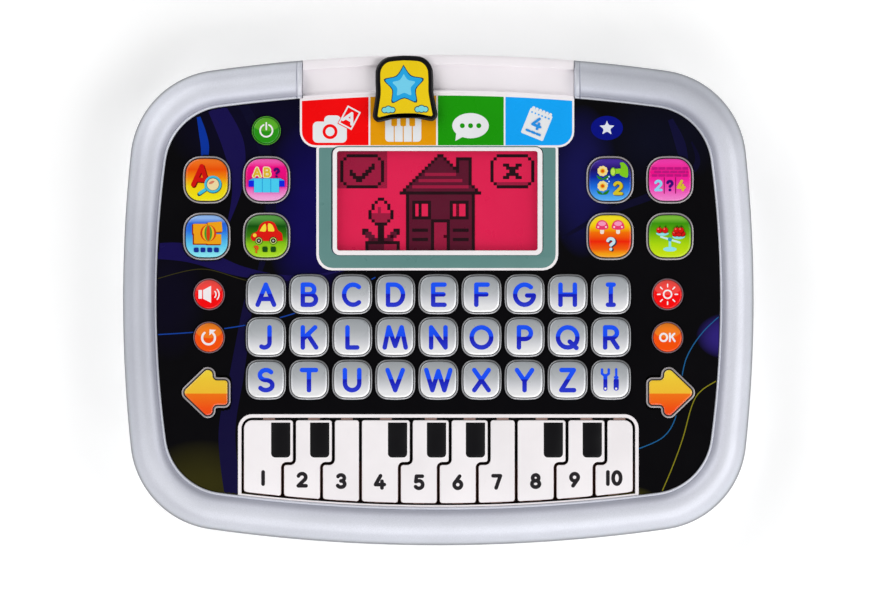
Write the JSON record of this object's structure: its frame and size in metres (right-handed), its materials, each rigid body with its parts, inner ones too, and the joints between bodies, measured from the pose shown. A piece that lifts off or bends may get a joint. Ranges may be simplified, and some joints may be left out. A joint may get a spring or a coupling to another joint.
{
  "type": "toy tablet",
  "caption": "Children's toy learning tablet with a small screen, letter keys, picture buttons, piano keys and a mode slider.",
  "frame": {"origin": "middle of the back's resting plane, under the middle of the case", "axes": "+X to the tablet's right, +Y to its mode-rail edge, +Z out of its face"},
  "size_m": [0.245, 0.1906, 0.0315],
  "materials": {
    "frame_silver": "silver metallic satin",
    "white_plastic": "smooth gloss",
    "case_white": "fine spark texture",
    "face_print": "gloss over print",
    "lens_clear": "clear gloss",
    "lcd_display": "lit display",
    "circuit_board": "satin",
    "contact_rubber": "matte",
    "speaker_metal": "satin",
    "cell_wrap": "gloss",
    "spring_steel": "satin",
    "screw_steel": "satin",
    "slider_yellow": "gloss",
    "key_silver": "silver satin",
    "piano_white": "gloss",
    "arrow_orange": "gloss",
    "picture_print": "gloss over print",
    "button_green": "gloss",
    "button_red": "gloss",
    "button_orange": "gloss"
  },
  "bodies": {
    "tablet": {"front_frame": "frame_silver", "mode_rail": "white_plastic", "face_panel": "face_print", "screen_lens": "lens_clear", "lcd_module": "lcd_display", "main_board": "circuit_board", "contact_mat": "contact_rubber", "speaker": "speaker_metal", "battery_cells": "cell_wrap", "battery_contacts": "spring_steel", "rear_case": "case_white", "case_screws": "screw_steel"},
    "mode_slider": {"mode_slider": "slider_yellow"},
    "battery_door": {"battery_door": "case_white"},
    "left_arrow_button": {"left_arrow_button": "arrow_orange"},
    "right_arrow_button": {"right_arrow_button": "arrow_orange"},
    "picture_buttons_left": {"picture_buttons_left": "picture_print"},
    "picture_buttons_right": {"picture_buttons_right": "picture_print"},
    "piano_key_1": {"piano_key_1": "piano_white"},
    "piano_key_2": {"piano_key_2": "piano_white"},
    "piano_key_3": {"piano_key_3": "piano_white"},
    "piano_key_4": {"piano_key_4": "piano_white"},
    "piano_key_5": {"piano_key_5": "piano_white"},
    "piano_key_6": {"piano_key_6": "piano_white"},
    "piano_key_7": {"piano_key_7": "piano_white"},
    "piano_key_8": {"piano_key_8": "piano_white"},
    "piano_key_9": {"piano_key_9": "piano_white"},
    "piano_key_10": {"piano_key_10": "piano_white"},
    "power_button": {"power_button": "button_green"},
    "volume_button": {"volume_button": "button_red"},
    "repeat_button": {"repeat_button": "button_orange"},
    "brightness_button": {"brightness_button": "button_red"},
    "ok_button": {"ok_button": "button_orange"},
    "letter_key_a": {"letter_key_a": "key_silver"},
    "letter_key_b": {"letter_key_b": "key_silver"},
    "letter_key_c": {"letter_key_c": "key_silver"},
    "letter_key_d": {"letter_key_d": "key_silver"},
    "letter_key_e": {"letter_key_e": "key_silver"},
    "letter_key_f": {"letter_key_f": "key_silver"},
    "letter_key_g": {"letter_key_g": "key_silver"},
    "letter_key_h": {"letter_key_h": "key_silver"},
    "letter_key_i": {"letter_key_i": "key_silver"},
    "letter_key_j": {"letter_key_j": "key_silver"},
    "letter_key_k": {"letter_key_k": "key_silver"},
    "letter_key_l": {"letter_key_l": "key_silver"},
    "letter_key_m": {"letter_key_m": "key_silver"},
    "letter_key_n": {"letter_key_n": "key_silver"},
    "letter_key_o": {"letter_key_o": "key_silver"},
    "letter_key_p": {"letter_key_p": "key_silver"},
    "letter_key_q": {"letter_key_q": "key_silver"},
    "letter_key_r": {"letter_key_r": "key_silver"},
    "letter_key_s": {"letter_key_s": "key_silver"},
    "letter_key_t": {"letter_key_t": "key_silver"},
    "letter_key_u": {"letter_key_u": "key_silver"},
    "letter_key_v": {"letter_key_v": "key_silver"},
    "letter_key_w": {"letter_key_w": "key_silver"},
    "letter_key_x": {"letter_key_x": "key_silver"},
    "letter_key_y": {"letter_key_y": "key_silver"},
    "letter_key_z": {"letter_key_z": "key_silver"},
    "tool_key": {"tool_key": "key_silver"}
  },
  "joints": [
    {"name": "mode_slide", "type": "hinge", "parent": "tablet", "child": "mode_slider", "pos_m": [0, -0.5587, 0.028], "axis": [0, 0, 1], "range_deg": [-4.66, 2.33]},
    {"name": "battery_door_open", "type": "hinge", "parent": "tablet", "child": "battery_door", "pos_m": [0, -0.019, 0.001], "axis": [-1, 0, 0], "range_deg": [0, 28]},
    {"name": "left_arrow_button_press", "type": "slide", "parent": "tablet", "child": "left_arrow_button", "axis": [0, 0, -1], "range_m": [0, 0.001], "stiffness_N_per_m": 300},
    {"name": "right_arrow_button_press", "type": "slide", "parent": "tablet", "child": "right_arrow_button", "axis": [0, 0, -1], "range_m": [0, 0.001], "stiffness_N_per_m": 300},
    {"name": "picture_buttons_left_press", "type": "slide", "parent": "tablet", "child": "picture_buttons_left", "axis": [0, 0, -1], "range_m": [0, 0.001], "stiffness_N_per_m": 400},
    {"name": "picture_buttons_right_press", "type": "slide", "parent": "tablet", "child": "picture_buttons_right", "axis": [0, 0, -1], "range_m": [0, 0.001], "stiffness_N_per_m": 400},
    {"name": "piano_key_1_press", "type": "slide", "parent": "tablet", "child": "piano_key_1", "axis": [0, 0, -1], "range_m": [0, 0.001], "stiffness_N_per_m": 300},
    {"name": "piano_key_2_press", "type": "slide", "parent": "tablet", "child": "piano_key_2", "axis": [0, 0, -1], "range_m": [0, 0.001], "stiffness_N_per_m": 300},
    {"name": "piano_key_3_press", "type": "slide", "parent": "tablet", "child": "piano_key_3", "axis": [0, 0, -1], "range_m": [0, 0.001], "stiffness_N_per_m": 300},
    {"name": "piano_key_4_press", "type": "slide", "parent": "tablet", "child": "piano_key_4", "axis": [0, 0, -1], "range_m": [0, 0.001], "stiffness_N_per_m": 300},
    {"name": "piano_key_5_press", "type": "slide", "parent": "tablet", "child": "piano_key_5", "axis": [0, 0, -1], "range_m": [0, 0.001], "stiffness_N_per_m": 300},
    {"name": "piano_key_6_press", "type": "slide", "parent": "tablet", "child": "piano_key_6", "axis": [0, 0, -1], "range_m": [0, 0.001], "stiffness_N_per_m": 300},
    {"name": "piano_key_7_press", "type": "slide", "parent": "tablet", "child": "piano_key_7", "axis": [0, 0, -1], "range_m": [0, 0.001], "stiffness_N_per_m": 300},
    {"name": "piano_key_8_press", "type": "slide", "parent": "tablet", "child": "piano_key_8", "axis": [0, 0, -1], "range_m": [0, 0.001], "stiffness_N_per_m": 300},
    {"name": "piano_key_9_press", "type": "slide", "parent": "tablet", "child": "piano_key_9", "axis": [0, 0, -1], "range_m": [0, 0.001], "stiffness_N_per_m": 300},
    {"name": "piano_key_10_press", "type": "slide", "parent": "tablet", "child": "piano_key_10", "axis": [0, 0, -1], "range_m": [0, 0.001], "stiffness_N_per_m": 300},
    {"name": "power_button_press", "type": "slide", "parent": "tablet", "child": "power_button", "axis": [0, 0, -1], "range_m": [0, 0.001], "stiffness_N_per_m": 300},
    {"name": "volume_button_press", "type": "slide", "parent": "tablet", "child": "volume_button", "axis": [0, 0, -1], "range_m": [0, 0.001], "stiffness_N_per_m": 300},
    {"name": "repeat_button_press", "type": "slide", "parent": "tablet", "child": "repeat_button", "axis": [0, 0, -1], "range_m": [0, 0.001], "stiffness_N_per_m": 300},
    {"name": "brightness_button_press", "type": "slide", "parent": "tablet", "child": "brightness_button", "axis": [0, 0, -1], "range_m": [0, 0.001], "stiffness_N_per_m": 300},
    {"name": "ok_button_press", "type": "slide", "parent": "tablet", "child": "ok_button", "axis": [0, 0, -1], "range_m": [0, 0.001], "stiffness_N_per_m": 300},
    {"name": "letter_key_a_press", "type": "slide", "parent": "tablet", "child": "letter_key_a", "axis": [0, 0, -1], "range_m": [0, 0.001], "stiffness_N_per_m": 300},
    {"name": "letter_key_b_press", "type": "slide", "parent": "tablet", "child": "letter_key_b", "axis": [0, 0, -1], "range_m": [0, 0.001], "stiffness_N_per_m": 300},
    {"name": "letter_key_c_press", "type": "slide", "parent": "tablet", "child": "letter_key_c", "axis": [0, 0, -1], "range_m": [0, 0.001], "stiffness_N_per_m": 300},
    {"name": "letter_key_d_press", "type": "slide", "parent": "tablet", "child": "letter_key_d", "axis": [0, 0, -1], "range_m": [0, 0.001], "stiffness_N_per_m": 300},
    {"name": "letter_key_e_press", "type": "slide", "parent": "tablet", "child": "letter_key_e", "axis": [0, 0, -1], "range_m": [0, 0.001], "stiffness_N_per_m": 300},
    {"name": "letter_key_f_press", "type": "slide", "parent": "tablet", "child": "letter_key_f", "axis": [0, 0, -1], "range_m": [0, 0.001], "stiffness_N_per_m": 300},
    {"name": "letter_key_g_press", "type": "slide", "parent": "tablet", "child": "letter_key_g", "axis": [0, 0, -1], "range_m": [0, 0.001], "stiffness_N_per_m": 300},
    {"name": "letter_key_h_press", "type": "slide", "parent": "tablet", "child": "letter_key_h", "axis": [0, 0, -1], "range_m": [0, 0.001], "stiffness_N_per_m": 300},
    {"name": "letter_key_i_press", "type": "slide", "parent": "tablet", "child": "letter_key_i", "axis": [0, 0, -1], "range_m": [0, 0.001], "stiffness_N_per_m": 300},
    {"name": "letter_key_j_press", "type": "slide", "parent": "tablet", "child": "letter_key_j", "axis": [0, 0, -1], "range_m": [0, 0.001], "stiffness_N_per_m": 300},
    {"name": "letter_key_k_press", "type": "slide", "parent": "tablet", "child": "letter_key_k", "axis": [0, 0, -1], "range_m": [0, 0.001], "stiffness_N_per_m": 300},
    {"name": "letter_key_l_press", "type": "slide", "parent": "tablet", "child": "letter_key_l", "axis": [0, 0, -1], "range_m": [0, 0.001], "stiffness_N_per_m": 300},
    {"name": "letter_key_m_press", "type": "slide", "parent": "tablet", "child": "letter_key_m", "axis": [0, 0, -1], "range_m": [0, 0.001], "stiffness_N_per_m": 300},
    {"name": "letter_key_n_press", "type": "slide", "parent": "tablet", "child": "letter_key_n", "axis": [0, 0, -1], "range_m": [0, 0.001], "stiffness_N_per_m": 300},
    {"name": "letter_key_o_press", "type": "slide", "parent": "tablet", "child": "letter_key_o", "axis": [0, 0, -1], "range_m": [0, 0.001], "stiffness_N_per_m": 300},
    {"name": "letter_key_p_press", "type": "slide", "parent": "tablet", "child": "letter_key_p", "axis": [0, 0, -1], "range_m": [0, 0.001], "stiffness_N_per_m": 300},
    {"name": "letter_key_q_press", "type": "slide", "parent": "tablet", "child": "letter_key_q", "axis": [0, 0, -1], "range_m": [0, 0.001], "stiffness_N_per_m": 300},
    {"name": "letter_key_r_press", "type": "slide", "parent": "tablet", "child": "letter_key_r", "axis": [0, 0, -1], "range_m": [0, 0.001], "stiffness_N_per_m": 300},
    {"name": "letter_key_s_press", "type": "slide", "parent": "tablet", "child": "letter_key_s", "axis": [0, 0, -1], "range_m": [0, 0.001], "stiffness_N_per_m": 300},
    {"name": "letter_key_t_press", "type": "slide", "parent": "tablet", "child": "letter_key_t", "axis": [0, 0, -1], "range_m": [0, 0.001], "stiffness_N_per_m": 300},
    {"name": "letter_key_u_press", "type": "slide", "parent": "tablet", "child": "letter_key_u", "axis": [0, 0, -1], "range_m": [0, 0.001], "stiffness_N_per_m": 300},
    {"name": "letter_key_v_press", "type": "slide", "parent": "tablet", "child": "letter_key_v", "axis": [0, 0, -1], "range_m": [0, 0.001], "stiffness_N_per_m": 300},
    {"name": "letter_key_w_press", "type": "slide", "parent": "tablet", "child": "letter_key_w", "axis": [0, 0, -1], "range_m": [0, 0.001], "stiffness_N_per_m": 300},
    {"name": "letter_key_x_press", "type": "slide", "parent": "tablet", "child": "letter_key_x", "axis": [0, 0, -1], "range_m": [0, 0.001], "stiffness_N_per_m": 300},
    {"name": "letter_key_y_press", "type": "slide", "parent": "tablet", "child": "letter_key_y", "axis": [0, 0, -1], "range_m": [0, 0.001], "stiffness_N_per_m": 300},
    {"name": "letter_key_z_press", "type": "slide", "parent": "tablet", "child": "letter_key_z", "axis": [0, 0, -1], "range_m": [0, 0.001], "stiffness_N_per_m": 300},
    {"name": "tool_key_press", "type": "slide", "parent": "tablet", "child": "tool_key", "axis": [0, 0, -1], "range_m": [0, 0.001], "stiffness_N_per_m": 300}
  ]
}
